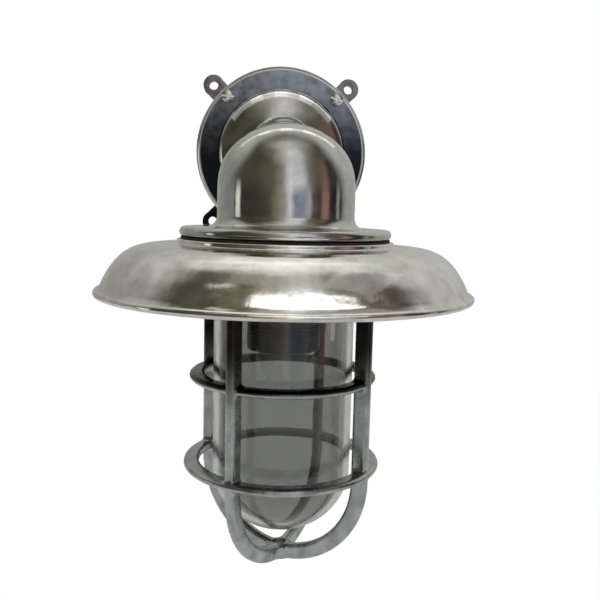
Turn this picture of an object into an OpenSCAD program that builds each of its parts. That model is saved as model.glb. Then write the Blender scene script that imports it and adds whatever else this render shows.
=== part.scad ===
// Wall-mounted bulkhead light: a cast wall box, a cast elbow arm with its cover plate,
// a spun shade, a clear glass globe and a cast guard that screws onto the arm and clamps
// shade and globe against it. Millimetres. The wall is the plane y = 0, the arm leaves it
// along -Y at z = 0, and the lamp hangs on a vertical axis at y = -arm_reach.

/* [Wall box] */
// Outside diameter of the wall box
box_d = 140; // [130:1:144]
// Depth of the wall box, from the wall to its open front
box_depth = 30; // [26:1:50]
// Thickness of the box's side wall
box_wall = 5; // [4:0.5:8]
// Thickness of the box's back
box_back = 5; // [4:0.5:8]
// Distance of the four wall bolts outside the box
ear_reach = 14; // [12:0.5:24]
// Width of a fixing ear
ear_d = 18; // [16:0.5:24]
// Thickness of a fixing ear
ear_t = 9; // [6:0.5:14]
// Diameter of the wall bolt holes
ear_hole_d = 8; // [5:0.5:10]
// Diameter of the cable entry in the back
cable_entry_d = 20; // [16:1:25]
// Height of the cable entry above the arm's axis
cable_entry_rise = 24; // [20:1:30]

/* [Arm] */
// Distance from the wall to the lamp's axis
arm_reach = 150; // [145:1:200]
// Drop from the arm's axis to the underside of the lamp flange
arm_drop = 67; // [64:1:100]
// How far the cover plate stands out past the wall box
cover_lip = 2; // [0:0.5:6]
// Thickness of the cover plate
cover_t = 8; // [6:0.5:12]
// Bevel round the front edge of the cover plate
cover_bevel = 2; // [1:0.5:4]
// Distance of the cover screws inside the wall box's outside
cover_screw_inset = 5; // [4:0.5:8]
// Thread diameter of the cover screws
cover_screw_d = 5; // [4:0.5:6]
// Head diameter of the cover screws
cover_head_d = 11; // [8:0.5:12]
// Diameter of the bell collar where the arm meets the cover plate
collar_d = 108; // [90:1:114]
// Distance over which the bell collar runs down to the neck
collar_rise = 23; // [16:1:28]
// Outside diameter of the arm's neck
neck_d = 50; // [46:1:62]
// Outside diameter of the hood and its vertical tube
hood_d = 97.5; // [90:0.5:106]
// How soon the hood narrows towards the neck
hood_fullness = 2; // [1:0.05:2.6]
// Wall thickness of the arm casting
arm_wall = 4; // [3:0.5:6]
// Room behind the vertical tube, in the crook of the elbow
crook_tube_gap = 13.5; // [10:0.5:20]
// Room under the neck, in the crook of the elbow
crook_neck_gap = 15; // [10:0.5:18]
// Fillet between the vertical tube and the lamp flange
foot_fillet = 8; // [4:0.5:10]
// How far the lamp flange stands out past the guard's collar
flange_lip = 5; // [4.5:0.5:15]
// Thickness of the lamp flange
flange_t = 7; // [6:0.5:10]
// Length of the threaded spigot under the lamp flange
spigot_length = 20; // [16:1:30]
// Width of the ledge in the spigot that the lampholder's bridge sits on
ledge_w = 9.5; // [8:0.5:12]

/* [Seals] */
// Thickness of the rubber gaskets
gasket_t = 1.5; // [1:0.25:3]
// Width of the wall box gasket
box_gasket_w = 12; // [10:0.5:15]

/* [Shade] */
// Diameter of the shade over its rim
shade_d = 267; // [230:1:320]
// Height of the shade
shade_h = 39.5; // [32:0.5:70]
// Thickness of the shade's sheet
shade_t = 2; // [1:0.25:3]
// How far the shade's crown stands out past the lamp flange
crown_lip = 1.7; // [0.5:0.1:5]
// Height of the step round the shade's crown
crown_step = 3.3; // [2.5:0.1:6]
// How full the shade's shoulder is
shade_fullness = 4; // [2:0.1:6]
// Diameter of the rolled bead at the shade's rim
bead_d = 5; // [3:0.5:7]

/* [Globe] */
// Outside diameter of the glass globe
globe_d = 101; // [90:1:120]
// Wall thickness of the glass
globe_wall = 4; // [3:0.5:6]
// Width of the globe's lip, outside its wall
globe_lip_w = 7.5; // [6:0.5:12]
// Thickness of the globe's lip
globe_lip_t = 6; // [4:0.5:10]
// Height of the globe's domed end
globe_dome_h = 47; // [30:1:55]
// Room between the globe's end and the guard
globe_end_gap = 14; // [8:1:20]

/* [Guard] */
// Length of the guard below the seat of the globe
guard_length = 210; // [195:0.5:260]
// Room between the globe and the guard's bars
guard_gap = 7.5; // [4:0.5:10]
// Depth of a bar, towards the lamp's axis
bar_depth = 11.5; // [9:0.5:14]
// Width of a bar
bar_w = 7; // [5:0.5:9]
// Turn of the bars about the lamp's axis
guard_turn = -32.6; // [-45:0.1:45]
// Drop of the upper ring below the seat of the globe
upper_ring_drop = 70; // [50:1:90]
// Drop of the lower ring below the seat of the globe
lower_ring_drop = 134; // [115:1:140]
// How far the upper ring lies inside the bars' outer faces
upper_ring_in = 2; // [0.5:0.25:3]
// How far the lower ring stands out past the bars' outer faces
lower_ring_out = 2; // [0.5:0.5:6]
// Depth of the rings, towards the lamp's axis
ring_depth = 11; // [9:0.5:14]
// Height of the rings
ring_h = 5.5; // [4:0.5:9]
// Height of the guard's ledge that carries the globe
seat_t = 6; // [4:0.5:10]
// Wall of the guard's threaded collar
collar_wall = 9.7; // [8:0.1:12]
// Diameter of the drain hole where the bars meet
drain_d = 10; // [8:0.5:14]

/* [Lampholder] */
// Drop from the lamp flange's underside to the mouth of the lampholder
holder_drop = 80; // [76:1:120]
// Outside diameter of the lampholder
holder_d = 53; // [50:0.5:58]
// Length of the lampholder's skirt
skirt_length = 44; // [40:1:60]
// Diameter inside the brass screw shell
shell_bore_d = 27.4; // [27:0.1:28]
// Thickness of the bridge strap
bridge_t = 2; // [1.5:0.5:4]
// Width of the bridge strap
bridge_w = 22; // [18:1:28]
// Diameter of the threaded nipple
nipple_d = 10; // [8:0.5:12]
// Diameter of an insulated wire
wire_d = 2.2; // [1.6:0.1:2.6]

/* [Hidden] */
$fn = 64;

// Play between pieces that slip together, and overlap of cutting tools
slip = 0.3;
close = 0.1;
past = 1;

// Wall box and cover plate, as distances from the wall
box_r = box_d / 2;
ear_circle_r = box_r + ear_reach;
cover_r = box_r + cover_lip;
screw_circle_r = box_r - cover_screw_inset;
chamber_r = box_r - box_wall;
cover_back = box_depth + gasket_t;
cover_front = cover_back + cover_t;
screw_post_r = 7;
screw_bite = 14;
cover_head_h = 3;
ear_web_w = ear_d - 0.6;
ear_root = 8;

// Elbow arm: the pivot that the bend's sections turn about, and its reach at both ends
hood_r = hood_d / 2;
neck_r = neck_d / 2;
collar_r = collar_d / 2;
pivot_y = -arm_reach + hood_r + crook_tube_gap;
pivot_z = -neck_r - crook_neck_gap;
tube_out = crook_tube_gap + 2 * hood_r;
neck_out = crook_neck_gap + 2 * neck_r;
bend_step = 7.5;
neck_tilt = 90;
cover_bore_r = neck_r - arm_wall - 2;
bore_meet = cover_front + 3;

// Heights down the lamp's axis
flange_low = -arm_drop;
flange_top = flange_low + flange_t;
foot = min(foot_fillet, pivot_z - flange_top - 1);
shade_top = flange_low - gasket_t;
shade_under = shade_top - shade_t;
rim_low = shade_top - shade_h;
spigot_low = flange_low - spigot_length;
lip_top = spigot_low - gasket_t;
lip_low = lip_top - globe_lip_t;
seat_top = lip_low - gasket_t;
seat_low = seat_top - seat_t;
guard_low = seat_top - guard_length;

// Radii about the lamp's axis, from the globe outwards
globe_r = globe_d / 2;
lip_r = globe_r + globe_lip_w;
seat_play = 3;
spigot_play = 1.5;
lip_cover = 2;
seat_bore_r = globe_r + seat_play;
spigot_bore_r = globe_r + spigot_play;
spigot_r = lip_r + lip_cover;
ledge_bore_r = spigot_bore_r - ledge_w;
collar_bore_r = spigot_r + slip;
collar_out_r = collar_bore_r + collar_wall;
flange_r = collar_out_r + flange_lip;
crown_r = flange_r + crown_lip;
crown_bore_r = spigot_r + slip + close;
gasket_inset = 1;
shade_r = shade_d / 2;
bead_r = bead_d / 2;

// Globe and guard
globe_low = guard_low + bar_depth + globe_end_gap;
dome_z = globe_low + globe_dome_h;
bar_in_r = globe_r + guard_gap;
bar_out_r = bar_in_r + bar_depth;
bar_mid_r = (bar_in_r + bar_out_r) / 2;
bend_z = guard_low + bar_out_r;
drain_r = drain_d / 2;
hub_wall = 4.5;
hub_inset = 1;
bow_spacing = 90;

// Lampholder stack, from the bridge on its ledge down to the mouth
ledge_drop = 3;
ledge_z = flange_low - ledge_drop;
bridge_low = ledge_z - bridge_t;
bridge_screw_x = spigot_bore_r - ledge_w / 2;
bridge_screw_r = 2;
bridge_head_r = 3.6;
bridge_screw_bite = 8;
nut_h = 5;
nut_r = nipple_d * 0.85;
nipple_r = nipple_d / 2;
nipple_bore_r = nipple_r - 1.4;
nipple_rise = 7;
holder_low = flange_low - holder_drop;
skirt_top = holder_low + skirt_length;
holder_r = holder_d / 2;
skirt_wall = 5.5;
insert_r = holder_r - skirt_wall - close;
insert_t = 7;
insert_depth = 14;
insert_seat = skirt_top - insert_depth;
insert_top = insert_seat + insert_t;
cap_h = 20;
cap_top = skirt_top + cap_h;
cap_neck_wall = 5;
cap_neck_h = 4;
cap_grip = 9;
cap_skirt_wall = 3.3;
cap_neck_r = nipple_r + cap_neck_wall;
cap_inside_top = cap_top - cap_grip;
shell_bore_r = shell_bore_d / 2;
shell_t = 0.9;
shell_length = 26;
contact_r = 5;
contact_t = 1;
post_x = 11;
post_w = 7;
post_h = 5;

// Terminal block on the back of the wall box, three poles side by side
pole_pitch = 12;
pole_w = 8;
block_screw_r = (pole_pitch - pole_w) / 2 - 0.6;
block_h = 16;
block_base_t = 5;
block_t = 13;
block_top = -24;
block_mid = block_top - block_h / 2;
block_bite = box_back - 1;
clamp_r = 1.8;
clamp_rise = 4.5;
wire_hole_r = wire_d / 2 + 0.5;
wire_level = box_back + block_t - 5;
wire_push = 5;
earth_at = [44, 0];
earth_post_r = 5;
earth_post_top = box_back + 7;
earth_tap_r = 1.6;
earth_tap_depth = 8;
earth_head_r = 3.4;

// Wire routes, from the terminal block to their far ends
wire_r = wire_d / 2;
block_in_z = block_top - wire_push;
lead_x = nipple_bore_r - wire_r - 0.6;
nipple_top = ledge_z + nut_h + nipple_rise;
function lamp_lead(pole_x, side) = [
    [pole_x, -wire_level, block_in_z],
    [pole_x, -wire_level, block_top + wire_r],
    [pole_x, -wire_level, block_top + 5],
    [side * 6, -box_depth + 4, -9],
    [side * 5, -cover_front - 8, -4],
    [side * 5, pivot_y, 0],
    [side * 4, -arm_reach + 30, pivot_z + 32],
    [side * lead_x, -arm_reach + 4, pivot_z + 12],
    [side * lead_x, -arm_reach, nipple_top - 4],
    [side * lead_x, -arm_reach, cap_inside_top],
    [side * post_x, -arm_reach, insert_top + post_h + 4],
    [side * post_x, -arm_reach, insert_top + post_h + 2],
    [side * post_x, -arm_reach, insert_top + post_h + close]
];
earth_lead = [
    [pole_pitch, -wire_level, block_in_z],
    [pole_pitch, -wire_level, block_top + wire_r],
    [pole_pitch, -wire_level, block_top + 5],
    [pole_pitch + 12, -wire_level, block_top + 16],
    [earth_at[0] - earth_head_r - 4.6, -earth_post_top - wire_r - close, earth_at[1] - 5],
    [earth_at[0] - earth_head_r - 0.5, -earth_post_top - wire_r - close, earth_at[1] - 1]
];

// Places a child so that its +Z points out of the wall, starting at the given distance from it
module from_wall(distance = 0) {
    translate([0, -distance, 0]) rotate([90, 0, 0]) children();
}

// Places a child on the lamp's axis
module on_lamp_axis() {
    translate([0, -arm_reach, 0]) children();
}

// Repeats a child at the four corners of a circle
module at_corners(radius) {
    for (angle = [45:90:315])
        rotate(angle) translate([radius, 0, 0]) children();
}

// Repeats a child on both sides of the lamp's axis
module on_both_sides(x) {
    for (side = [-1, 1])
        translate([side * x, 0, 0]) children();
}

// Flat ring of rubber or metal on the Z axis
module flat_ring(inner_r, outer_r, height) {
    difference() {
        cylinder(r = outer_r, h = height);
        translate([0, 0, -past]) cylinder(r = inner_r, h = height + 2 * past);
    }
}

// Skin over a row of rings that all have the same number of points
module skin(rings) {
    count = len(rings[0]);
    last = (len(rings) - 1) * count;
    polyhedron(
        points = [for (ring = rings) each ring],
        faces = concat(
            [[for (k = [count - 1:-1:0]) k]],
            [for (i = [0:len(rings) - 2], k = [0:count - 1])
                let (a = i * count, b = a + count, next = (k + 1) % count)
                [a + k, a + next, b + next, b + k]],
            [[for (k = [0:count - 1]) last + k]]
        )
    );
}

// Points of a rectangle with rounded corners, centred on the origin
function rounded_rectangle(width, height, radius, steps = 3) = [
    for (corner = [0:3], k = [0:steps])
        let (
            angle = 90 * corner + 90 * k / steps,
            x_side = corner == 0 || corner == 3 ? 1 : -1,
            y_side = corner < 2 ? 1 : -1
        )
        [x_side * (width / 2 - radius) + radius * cos(angle),
         y_side * (height / 2 - radius) + radius * sin(angle)]
];

// Wall box: round cast box with four ears, screw posts, a cable entry and an earth post
module wall_box() {
    color("silver") from_wall() difference() {
        union() {
            cylinder(r = box_r, h = box_depth);
            at_corners(ear_circle_r) cylinder(r = ear_d / 2, h = ear_t);
            at_corners(box_r - ear_root) translate([0, -ear_web_w / 2, 0])
                cube([ear_circle_r - box_r + ear_root, ear_web_w, ear_t]);
        }
        difference() {
            translate([0, 0, box_back]) cylinder(r = chamber_r, h = box_depth);
            at_corners(screw_circle_r) cylinder(r = screw_post_r, h = box_depth + past);
            translate(earth_at) cylinder(r = earth_post_r, h = earth_post_top);
        }
        at_corners(screw_circle_r) translate([0, 0, box_depth - screw_bite - past])
            cylinder(r = cover_screw_d / 2, h = screw_bite + 2 * past);
        at_corners(ear_circle_r) translate([0, 0, -past]) cylinder(r = ear_hole_d / 2, h = ear_t + 2 * past);
        translate([0, cable_entry_rise, -past]) cylinder(r = cable_entry_d / 2, h = box_back + 2 * past);
        translate([earth_at[0], earth_at[1], earth_post_top - earth_tap_depth])
            cylinder(r = earth_tap_r, h = earth_tap_depth + past);
        translate([0, block_mid, box_back - block_bite]) on_both_sides(pole_pitch / 2)
            cylinder(r = block_screw_r + close, h = block_bite + past);
    }
}

// Flat rubber gasket between the wall box and the cover plate
module box_gasket() {
    color("#1c1c1c") from_wall(box_depth) difference() {
        flat_ring(box_r - box_gasket_w, box_r, gasket_t);
        at_corners(screw_circle_r) translate([0, 0, -past])
            cylinder(r = cover_screw_d / 2 + close, h = gasket_t + 2 * past);
    }
}

// Share of the tube's reach from the pivot that the bend has, from 1 at the tube to 0 at the neck
function smooth(c) = c * c * (3 - 2 * c);
function hood_share(phi) = pow(smooth(pow(cos(phi), 2)), hood_fullness);

// Sections of the arm, each as [y, z, radius, tilt], from the lamp flange to the cover plate
function foot_radius(rise) = hood_r + foot - sqrt(pow(foot, 2) - pow(foot - rise, 2));
function bend_section(phi, inset) =
    let (
        far = neck_out + (tube_out - neck_out) * hood_share(phi),
        near = crook_neck_gap + (crook_tube_gap - crook_neck_gap) * pow(cos(phi), 2),
        middle = (far + near) / 2
    )
    [pivot_y - middle * cos(phi), pivot_z + middle * sin(phi), (far - near) / 2 - inset, phi];
function bell_radius(share) = neck_r + (collar_r - neck_r) * pow(1 - share * share, 2);
bend_angles = [0:bend_step:neck_tilt];
outer_sections = concat(
    [[-arm_reach, flange_top - flange_t / 2, hood_r + foot, 0]],
    [for (share = [0.06, 0.2, 0.4, 0.7, 1])
        [-arm_reach, flange_top + foot * share, foot_radius(foot * share), 0]],
    [for (phi = bend_angles) bend_section(phi, 0)],
    [for (share = [1, 0.85, 0.7, 0.55, 0.4, 0.25, 0.1])
        [-cover_front - collar_rise * share, 0, bell_radius(share), neck_tilt]],
    [[-cover_front + cover_t / 3, 0, collar_r, neck_tilt]]
);
inner_sections = concat(
    [[-arm_reach, flange_top - 1, hood_r - arm_wall, 0]],
    [for (phi = bend_angles) bend_section(phi, arm_wall)],
    [[-bore_meet, 0, neck_r - arm_wall, neck_tilt]]
);
function section_ring(section, count) = [
    for (k = [0:count - 1])
        let (turn = 360 * k / count, out = section[2] * sin(turn))
        [section[2] * cos(turn), section[0] - out * cos(section[3]), section[1] + out * sin(section[3])]
];

// Cover plate with a bevelled front edge
module cover_plate() {
    rotate_extrude() polygon([
        [0, 0], [cover_r, 0], [cover_r, cover_t - cover_bevel], [cover_r - cover_bevel, cover_t], [0, cover_t]
    ]);
}

// Lamp flange with a half-round edge
module lamp_flange() {
    edge = flange_t / 2;
    rotate_extrude() polygon(concat(
        [[0, 0]],
        [for (angle = [-90:15:90]) [flange_r - edge + edge * cos(angle), edge + edge * sin(angle)]],
        [[0, flange_t]]
    ));
}

// Elbow arm: one casting with the cover plate, bell collar, neck, hood, lamp flange and spigot
module elbow_arm() {
    color("lightgray") difference() {
        union() {
            skin([for (section = outer_sections) section_ring(section, 48)]);
            from_wall(cover_back) cover_plate();
            on_lamp_axis() translate([0, 0, flange_low]) lamp_flange();
            on_lamp_axis() translate([0, 0, spigot_low]) cylinder(r = spigot_r, h = spigot_length + past);
        }
        skin([for (section = inner_sections) section_ring(section, 32)]);
        from_wall(cover_back - past) cylinder(r = cover_bore_r, h = bore_meet - cover_back + 3 * past);
        on_lamp_axis() {
            translate([0, 0, spigot_low - past]) cylinder(r = spigot_bore_r, h = ledge_z - spigot_low + past);
            translate([0, 0, ledge_z - past]) cylinder(r = ledge_bore_r, h = flange_top - ledge_z + 2 + past);
            on_both_sides(bridge_screw_x) translate([0, 0, ledge_z - past])
                cylinder(r = bridge_screw_r, h = bridge_screw_bite + past);
        }
        from_wall(cover_back) at_corners(screw_circle_r) translate([0, 0, -past])
            cylinder(r = cover_screw_d / 2 + close, h = cover_t + 2 * past);
    }
}

// Pan-head screw with a slot, head down on z = 0 and shank along -Z
module pan_screw(head_r, head_h, shank_r, shank_length) {
    crown = head_h / 3;
    difference() {
        union() {
            rotate_extrude() polygon([
                [0, 0], [head_r, 0], [head_r, head_h - crown], [head_r - crown, head_h - crown / 3],
                [head_r / 2, head_h], [0, head_h]
            ]);
            translate([0, 0, -shank_length]) cylinder(r = shank_r, h = shank_length + crown);
        }
        translate([-head_r - past, -head_r / 10, head_h * 0.6])
            cube([2 * head_r + 2 * past, head_r / 5, head_h]);
    }
}

// Four screws that hold the arm's cover plate on the wall box
module cover_screws() {
    color("gainsboro") from_wall(cover_front) at_corners(screw_circle_r)
        pan_screw(cover_head_d / 2, cover_head_h, cover_screw_d / 2 - close, cover_t + gasket_t + screw_bite - 2);
}

// Terminal block: a moulded strip with three barrels on the back of the wall box
module terminal_block() {
    poles = [-pole_pitch, 0, pole_pitch];
    color("ivory") from_wall(box_back) difference() {
        union() {
            translate([-pole_pitch - pole_w / 2, block_top - block_h, 0])
                cube([2 * pole_pitch + pole_w, block_h, block_base_t]);
            for (x = poles)
                translate([x - pole_w / 2, block_top - block_h, 0]) cube([pole_w, block_h, block_t]);
        }
        for (x = poles) {
            translate([x, block_top + past, wire_level - box_back]) rotate([90, 0, 0])
                cylinder(r = wire_hole_r, h = block_h + 2 * past);
            for (side = [-1, 1])
                translate([x, block_mid + side * clamp_rise, wire_level - box_back])
                    cylinder(r = clamp_r, h = block_t);
        }
        translate([0, block_mid, -past]) on_both_sides(pole_pitch / 2)
            cylinder(r = block_screw_r + close, h = block_base_t + 2 * past);
    }
}

// Brass clamp screws, two to each pole
module terminal_screws() {
    color("goldenrod") from_wall(wire_level + wire_r + slip)
        for (x = [-pole_pitch, 0, pole_pitch], side = [-1, 1])
            translate([x, block_mid + side * clamp_rise, 0]) difference() {
                cylinder(r = clamp_r - close, h = 3.4);
                translate([-clamp_r, -0.3, 2.6]) cube([2 * clamp_r, 0.6, past]);
            }
}

// Two screws that hold the terminal block to the box's back
module block_screws() {
    color("silver") from_wall(box_back + block_base_t) translate([0, block_mid, 0])
        on_both_sides(pole_pitch / 2)
            pan_screw(block_screw_r + 0.4, 1.4, block_screw_r, block_base_t + block_bite - 1);
}

// Earth screw on its post in the wall box
module earth_screw() {
    color("goldenrod") from_wall(earth_post_top) translate(earth_at)
        pan_screw(earth_head_r, 2.4, earth_tap_r - close, earth_tap_depth - 2);
}

// Round tube swept along a smooth curve through the points of a route
function curve_point(p, i, t) =
    let (
        last = len(p) - 1,
        a = p[max(i - 1, 0)], b = p[i], c = p[i + 1], d = p[min(i + 2, last)]
    )
    0.5 * (2 * b + (c - a) * t + (2 * a - 5 * b + 4 * c - d) * t * t + (3 * b - a - 3 * c + d) * t * t * t);
function unit(v) = v / norm(v);
module wire(route, steps = 4) {
    path = concat(
        [for (i = [0:len(route) - 2], k = [0:steps - 1]) curve_point(route, i, k / steps)],
        [route[len(route) - 1]]
    );
    last = len(path) - 1;
    skin([
        for (i = [0:last])
            let (
                along = unit(path[min(i + 1, last)] - path[max(i - 1, 0)]),
                across = unit([1, 0, 0] - along * along[0]),
                over = cross(across, along)
            )
            [for (k = [0:7]) path[i] + wire_r * (cos(45 * k) * across + sin(45 * k) * over)]
    ]);
}

// Brown live lead, from the terminal block to the lampholder
module live_wire() {
    color("saddlebrown") wire(lamp_lead(-pole_pitch, -1));
}

// Blue neutral lead, from the terminal block to the lampholder
module neutral_wire() {
    color("royalblue") wire(lamp_lead(0, 1));
}

// Green earth lead, from the terminal block to the earth screw
module earth_wire() {
    color("forestgreen") wire(earth_lead);
}

// Steel bridge strap across the ledge in the spigot
module holder_bridge() {
    color("lightsteelblue") on_lamp_axis() translate([0, 0, bridge_low]) difference() {
        intersection() {
            cylinder(r = spigot_bore_r - slip, h = bridge_t);
            translate([-spigot_bore_r, -bridge_w / 2, 0]) cube([2 * spigot_bore_r, bridge_w, bridge_t]);
        }
        translate([0, 0, -past]) cylinder(r = nipple_r + close, h = bridge_t + 2 * past);
        on_both_sides(bridge_screw_x) translate([0, 0, -past])
            cylinder(r = bridge_screw_r + close, h = bridge_t + 2 * past);
    }
}

// Two screws that hold the bridge to the ledge
module bridge_screws() {
    color("silver") on_lamp_axis() on_both_sides(bridge_screw_x) translate([0, 0, bridge_low])
        rotate([180, 0, 0]) pan_screw(bridge_head_r, 2.4, bridge_screw_r - close, bridge_t + bridge_screw_bite - 1);
}

// Threaded nipple that the lampholder hangs on, with the leads inside
module holder_nipple() {
    color("gold") on_lamp_axis() translate([0, 0, cap_inside_top])
        flat_ring(nipple_bore_r, nipple_r, nipple_top - cap_inside_top);
}

// Hexagon nuts that clamp the nipple above and below the bridge
module nipple_nuts() {
    color("gold") on_lamp_axis() for (z = [ledge_z, bridge_low - nut_h])
        translate([0, 0, z]) difference() {
            cylinder(r = nut_r, h = nut_h, $fn = 6);
            translate([0, 0, -past]) cylinder(r = nipple_r + close, h = nut_h + 2 * past);
        }
}

// Domed lampholder cap that screws onto the nipple and clamps the insert
module holder_cap() {
    spigot_in_r = insert_r - cap_skirt_wall;
    dome_rise = cap_h - cap_neck_h;
    color("#2b2420") on_lamp_axis() rotate_extrude() polygon(concat(
        [[insert_r, insert_top], [insert_r, skirt_top]],
        [for (angle = [0:10:90])
            [cap_neck_r + (holder_r - cap_neck_r) * cos(angle), skirt_top + dome_rise * sin(angle)]],
        [[cap_neck_r, cap_top], [nipple_r + close, cap_top], [nipple_r + close, cap_inside_top]],
        [[spigot_in_r, skirt_top + cap_skirt_wall / 2], [spigot_in_r, insert_top]]
    ));
}

// Lampholder skirt round the screw shell, with an inner step for the insert
module holder_skirt() {
    bore_r = holder_r - skirt_wall;
    waist_r = shell_bore_r + shell_t + 2;
    mouth_r = shell_bore_r + shell_t + 0.6;
    lip_h = 4;
    edge = 1.5;
    color("#2b2420") on_lamp_axis() rotate_extrude() polygon([
        [holder_r - edge, holder_low], [holder_r, holder_low + edge], [holder_r, skirt_top],
        [bore_r, skirt_top], [bore_r, insert_seat], [waist_r, insert_seat], [waist_r, holder_low + lip_h],
        [mouth_r, holder_low + lip_h], [mouth_r, holder_low]
    ]);
}

// Ceramic insert that carries the contacts
module contact_insert() {
    color("white") on_lamp_axis() translate([0, 0, insert_seat]) cylinder(r = insert_r, h = insert_t);
}

// Brass screw shell under the insert
module screw_shell() {
    color("gold") on_lamp_axis() translate([0, 0, insert_seat - shell_length])
        flat_ring(shell_bore_r, shell_bore_r + shell_t, shell_length);
}

// Brass centre contact: a plate with a raised tip
module centre_contact() {
    color("gold") on_lamp_axis() translate([0, 0, insert_seat]) rotate([180, 0, 0]) {
        cylinder(r = contact_r, h = contact_t);
        translate([0, 0, contact_t]) cylinder(r1 = contact_r / 2, r2 = contact_r / 3, h = contact_t);
    }
}

// Brass terminal posts on top of the insert
module holder_terminals() {
    color("gold") on_lamp_axis() on_both_sides(post_x) translate([-post_w / 2, -post_w / 2, insert_top])
        cube([post_w, post_w, post_h]);
}

// Spun shade: a flat crown with a step, a full shoulder and a rolled bead at the rim
module shade() {
    shoulder_z = shade_top - crown_step;
    bead_z = rim_low + bead_r;
    run = shade_r - bead_r - crown_r;
    fall = shoulder_z - bead_z;
    shares = [for (k = [0:24]) pow(k / 24, 0.7)];
    outer = [for (s = shares) [crown_r + run * s, shoulder_z - fall * pow(s, shade_fullness)]];
    inner = [
        for (k = [24:-1:0])
            let (lean = fall * shade_fullness * pow(shares[k], shade_fullness - 1))
            outer[k] - shade_t * unit([lean, run])
    ];
    color("lightgray") on_lamp_axis() {
        rotate_extrude() polygon(concat(
            [[crown_bore_r, shade_top], [crown_r - shade_t / 2, shade_top], [crown_r, shade_top - shade_t / 2]],
            outer, inner,
            [[crown_r - shade_t, shoulder_z - shade_t], [crown_r - shade_t, shade_under],
             [crown_bore_r, shade_under]]
        ));
        rotate_extrude() translate([shade_r - bead_r, bead_z]) circle(r = bead_r);
    }
}

// Rubber gasket between the lamp flange and the shade's crown
module shade_gasket() {
    color("#1c1c1c") on_lamp_axis() translate([0, 0, shade_top])
        flat_ring(crown_bore_r, flange_r - gasket_inset, gasket_t);
}

// Glass globe: a lipped mouth, a straight wall and a domed end
module glass_globe() {
    inner_r = globe_r - globe_wall;
    color([0.8, 0.85, 0.85, 0.4]) on_lamp_axis() rotate_extrude() polygon(concat(
        [[inner_r, lip_top], [lip_r, lip_top], [lip_r, lip_low], [globe_r, lip_low]],
        [for (angle = [0:7.5:90]) [globe_r * cos(angle), dome_z - globe_dome_h * sin(angle)]],
        [for (angle = [90:-7.5:0])
            [inner_r * cos(angle), dome_z - (globe_dome_h - globe_wall) * sin(angle)]]
    ));
}

// Rubber gasket between the spigot and the globe's lip
module upper_globe_gasket() {
    color("#1c1c1c") on_lamp_axis() translate([0, 0, lip_top]) flat_ring(spigot_bore_r, lip_r, gasket_t);
}

// Rubber gasket between the globe's lip and the guard's seat
module lower_globe_gasket() {
    color("#1c1c1c") on_lamp_axis() translate([0, 0, seat_top]) flat_ring(seat_bore_r, lip_r, gasket_t);
}

// Guard ring with a blunt nose round its outside
module guard_ring(outer_r) {
    nose = ring_h / 3;
    flat = ring_h / 6;
    rotate_extrude() polygon([
        [outer_r - ring_depth, -ring_h / 2], [outer_r - nose, -ring_h / 2], [outer_r, -flat],
        [outer_r, flat], [outer_r - nose, ring_h / 2], [outer_r - ring_depth, ring_h / 2]
    ]);
}

// Two opposite bars as one bow: straight legs and a half circle under the globe
module guard_bow() {
    section = rounded_rectangle(bar_depth, bar_w, bar_w / 4);
    for (side = [0, 180])
        rotate(side) translate([bar_mid_r, 0, bend_z])
            linear_extrude(height = seat_low + seat_t / 2 - bend_z) polygon(section);
    translate([0, 0, bend_z]) rotate([90, 0, 0]) rotate(180)
        rotate_extrude(angle = 180) translate([bar_mid_r, 0]) polygon(section);
}

// Guard: one casting with a threaded collar, four bars, two rings and a drained hub
module guard() {
    color("darkgray") on_lamp_axis() difference() {
        union() {
            rotate_extrude() polygon([
                [collar_bore_r, shade_under], [collar_out_r, shade_under], [collar_out_r, seat_low],
                [seat_bore_r, seat_low], [seat_bore_r, seat_top], [collar_bore_r, seat_top]
            ]);
            for (bow = [0, 1])
                rotate(guard_turn + bow * bow_spacing) guard_bow();
            translate([0, 0, seat_top - upper_ring_drop]) guard_ring(bar_out_r - upper_ring_in);
            translate([0, 0, seat_top - lower_ring_drop]) guard_ring(bar_out_r + lower_ring_out);
            translate([0, 0, guard_low + hub_inset])
                cylinder(r = drain_r + hub_wall, h = bar_depth - 2 * hub_inset);
        }
        translate([0, 0, guard_low - past]) cylinder(r = drain_r, h = bar_depth + 2 * past);
    }
}

wall_box();
box_gasket();
elbow_arm();
cover_screws();
terminal_block();
terminal_screws();
block_screws();
earth_screw();
live_wire();
neutral_wire();
earth_wire();
holder_bridge();
bridge_screws();
holder_nipple();
nipple_nuts();
holder_cap();
holder_skirt();
contact_insert();
screw_shell();
centre_contact();
holder_terminals();
shade();
shade_gasket();
glass_globe();
upper_globe_gasket();
lower_globe_gasket();
guard();
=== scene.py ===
# Bulkhead light, dressed for its picture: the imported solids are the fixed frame, and every piece that shows
# gets a finished mesh or a worked material. Metres, +Z up, the wall is the plane y = 0 and the arm leaves it
# along -Y.

import math

import bmesh
import bpy
from mathutils import Matrix, Vector


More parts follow.
